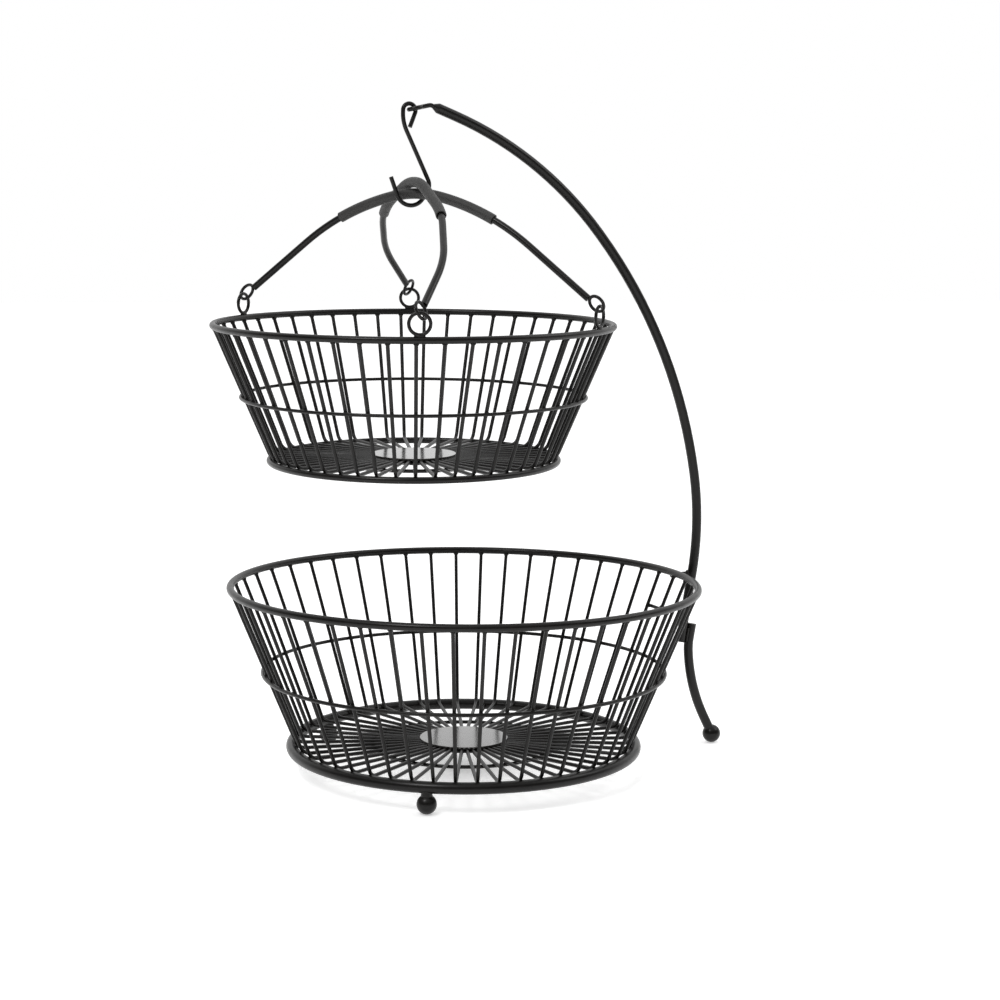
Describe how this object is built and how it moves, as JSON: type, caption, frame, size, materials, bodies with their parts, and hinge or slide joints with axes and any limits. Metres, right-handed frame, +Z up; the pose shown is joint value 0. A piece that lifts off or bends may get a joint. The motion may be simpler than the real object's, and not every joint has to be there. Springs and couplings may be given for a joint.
{
  "type": "two-tier wire produce basket",
  "caption": "Round wire basket on ball feet with a bent arm and an S-hook that carries a smaller hanging wire basket with two bail handles.",
  "frame": {"origin": "on the table, under the middle of the whole object's bounding box", "axes": "+Z up; +X from the baskets towards the arm and its leg; the arm lies in the XZ plane"},
  "size_m": [0.3532, 0.3048, 0.4256],
  "materials": {
    "black_coat": "satin",
    "grip_vinyl": "matte"
  },
  "bodies": {
    "stand": {"arm_tip_eye": "black_coat", "arm_tube": "black_coat", "floor_strut_1": "black_coat", "floor_strut_2": "black_coat", "floor_strut_3": "black_coat", "front_ball_foot": "black_coat", "leg_ball_foot": "black_coat", "leg_tube": "black_coat", "lower_base_ring": "black_coat", "lower_floor_ring": "black_coat", "lower_hub_disc": "black_coat", "lower_hub_plate": "black_coat", "lower_mid_ring": "black_coat", "lower_rim": "black_coat", "lower_stay": "black_coat", "lower_wires_1": "black_coat", "lower_wires_2": "black_coat", "lower_wires_3": "black_coat", "lower_wires_4": "black_coat", "rear_ball_foot": "black_coat", "stay_cross_bar": "black_coat", "tube_weld_beads": "black_coat", "upper_stay": "black_coat"},
    "s_hook": {"s_hook": "black_coat"},
    "upper_basket": {"rim_eye_1": "black_coat", "rim_eye_2": "black_coat", "rim_eye_3": "black_coat", "rim_eye_4": "black_coat", "upper_base_ring": "black_coat", "upper_floor_ring": "black_coat", "upper_hub_disc": "black_coat", "upper_hub_plate": "black_coat", "upper_mid_ring": "black_coat", "upper_rim": "black_coat", "upper_wires_1": "black_coat", "upper_wires_2": "black_coat", "upper_wires_3": "black_coat", "upper_wires_4": "black_coat"},
    "bail_a": {"bail_a_loop_1": "black_coat", "bail_a_loop_2": "black_coat", "bail_a_rod": "black_coat", "bail_a_sleeve": "grip_vinyl"},
    "bail_b": {"bail_b_loop_1": "black_coat", "bail_b_loop_2": "black_coat", "bail_b_rod": "black_coat", "bail_b_sleeve": "grip_vinyl"}
  },
  "joints": [
    {"name": "s_hook_swing", "type": "hinge", "parent": "stand", "child": "s_hook", "pos_m": [-0.05291, 0, 0.42066], "axis": [0, 1, 0], "range_deg": [-4, 12]},
    {"name": "basket_lift", "type": "slide", "parent": "s_hook", "child": "upper_basket", "axis": [-0.5201, 0, 0.8541], "range_m": [0, 0.1]},
    {"name": "bail_a_swing", "type": "hinge", "parent": "upper_basket", "child": "bail_a", "pos_m": [-0.04917, -0.00017, 0.30357], "axis": [-0.6704, 0.7419, 0.0144], "range_deg": [-2, 0]},
    {"name": "bail_b_swing", "type": "hinge", "parent": "upper_basket", "child": "bail_b", "pos_m": [-0.04951, -0.00055, 0.30356], "axis": [0.3303, 0.9431, 0.0374], "range_deg": [-2, 2]}
  ]
}
